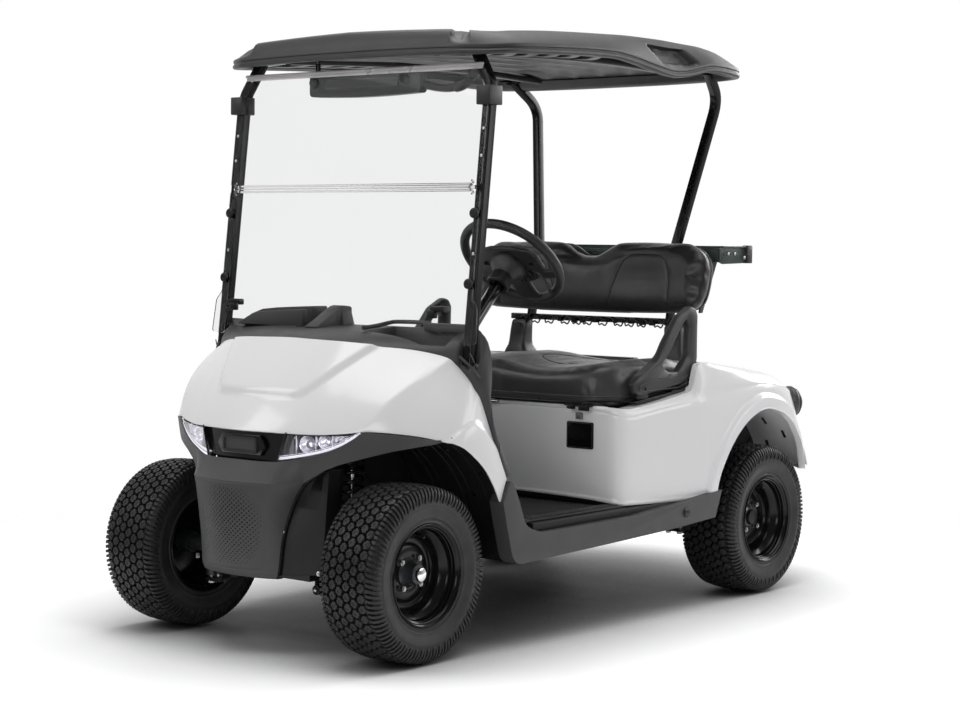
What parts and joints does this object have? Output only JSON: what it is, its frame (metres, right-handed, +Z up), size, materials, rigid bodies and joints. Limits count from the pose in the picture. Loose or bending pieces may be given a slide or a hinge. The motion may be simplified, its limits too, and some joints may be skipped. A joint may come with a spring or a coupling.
{
  "type": "golf cart",
  "caption": "Electric two-seat golf cart with a canopy, split clear windscreen, tipping seat bottom, steered front wheels and a bag rack.",
  "frame": {"origin": "on the ground under the middle of the cart", "axes": "the cart faces -Y, its left side is +X, +Z is up"},
  "size_m": [1.194, 2.4, 1.7899],
  "materials": {
    "white_paint": "gloss white moulded skin",
    "grey_plastic": "textured dark grey plastic",
    "black_gloss": "gloss black",
    "lamp_lens": "clear lens",
    "black_plastic": "textured black plastic",
    "black_steel": "satin black powder coat",
    "clear_pane": "clear acrylic",
    "rail_plastic": "clear hinge rail",
    "roof_plastic": "textured charcoal plastic",
    "floor_rubber": "ribbed mat",
    "liner_plastic": "grey plastic",
    "black_vinyl": "black vinyl",
    "rack_steel": "dark coated steel",
    "grip_rubber": "moulded grip",
    "battery_case": "battery cases",
    "axle_metal": "cast and painted",
    "zinc_steel": "zinc plated",
    "rim_steel": "gloss black wheel",
    "tyre_rubber": "turf tyre"
  },
  "bodies": {
    "chassis": {"front_cowl": "white_paint", "bumper_cowl": "grey_plastic", "light_panel": "black_gloss", "headlamps": "lamp_lens", "dashboard": "black_plastic", "front_struts": "black_steel", "rear_struts": "black_steel", "windscreen_lower": "clear_pane", "windscreen_upper": "clear_pane", "windscreen_rail": "rail_plastic", "roof": "roof_plastic", "cabin_mirror": "black_gloss", "floor_pan": "floor_rubber", "rockers": "grey_plastic", "rear_body": "white_paint", "rear_wheel_liners": "liner_plastic", "front_wheel_liners": "black_plastic", "bagwell": "black_plastic", "seat_back": "black_vinyl", "seat_back_frame": "black_steel", "hip_restraints": "black_plastic", "seat_supports": "black_plastic", "bag_rack": "rack_steel", "steering_column": "black_steel", "pedals": "black_steel", "chassis_frame": "black_steel", "battery_pack": "battery_case", "front_suspension": "black_steel", "front_shocks": "black_steel", "rear_axle": "axle_metal", "rear_springs": "black_steel", "rear_bumper": "black_plastic", "tail_lamps": "black_plastic"},
    "seat_lid": {"seat_base": "black_plastic", "seat_cushion": "black_vinyl"},
    "steering": {"steering_wheel": "grip_rubber"},
    "track_rod": {"track_rod": "zinc_steel"},
    "knuckle_left": {"knuckle_left": "zinc_steel"},
    "knuckle_right": {"knuckle_right": "zinc_steel"},
    "wheel_front_left": {"rim_front_left": "rim_steel", "tyre_front_left": "tyre_rubber"},
    "wheel_front_right": {"rim_front_right": "rim_steel", "tyre_front_right": "tyre_rubber"},
    "wheel_rear_left": {"rim_rear_left": "rim_steel", "tyre_rear_left": "tyre_rubber"},
    "wheel_rear_right": {"rim_rear_right": "rim_steel", "tyre_rear_right": "tyre_rubber"}
  },
  "joints": [
    {"name": "steer_left", "type": "hinge", "parent": "chassis", "child": "knuckle_left", "pos_m": [0.318, -0.925, 0.246], "axis": [0, 0, 1], "range_deg": [-25, 25]},
    {"name": "steer_right", "type": "hinge", "parent": "chassis", "child": "knuckle_right", "pos_m": [-0.318, -0.925, 0.246], "axis": [0, 0, 1], "range_deg": [-25, 25]},
    {"name": "steering_wheel_turn", "type": "hinge", "parent": "chassis", "child": "steering", "pos_m": [0.258, -0.237, 1.095], "axis": [0, 0.7009, 0.7133], "range_deg": [-375, 375]},
    {"name": "track_rod_slide", "type": "slide", "parent": "chassis", "child": "track_rod", "axis": [1, 0, 0], "range_m": [-0.0479, 0.0479]},
    {"name": "seat_lid_open", "type": "hinge", "parent": "chassis", "child": "seat_lid", "pos_m": [0, -0.058, 0.65], "axis": [1, 0, 0], "range_deg": [0, 65]},
    {"name": "roll_front_left", "type": "hinge", "parent": "knuckle_left", "child": "wheel_front_left", "pos_m": [0.431, -0.925, 0.246], "axis": [1, 0, 0], "continuous": true},
    {"name": "roll_front_right", "type": "hinge", "parent": "knuckle_right", "child": "wheel_front_right", "pos_m": [-0.431, -0.925, 0.246], "axis": [1, 0, 0], "continuous": true},
    {"name": "roll_rear_left", "type": "hinge", "parent": "chassis", "child": "wheel_rear_left", "pos_m": [0.489, 0.745, 0.246], "axis": [1, 0, 0], "continuous": true},
    {"name": "roll_rear_right", "type": "hinge", "parent": "chassis", "child": "wheel_rear_right", "pos_m": [-0.489, 0.745, 0.246], "axis": [1, 0, 0], "continuous": true}
  ],
  "couplings": [
    {"joint": "steer_right", "follows": "steer_left", "ratio": 1},
    {"joint": "steering_wheel_turn", "follows": "steer_left", "ratio": 15},
    {"joint": "track_rod_slide", "follows": "steer_left", "m_per_rad": -0.1095}
  ]
}
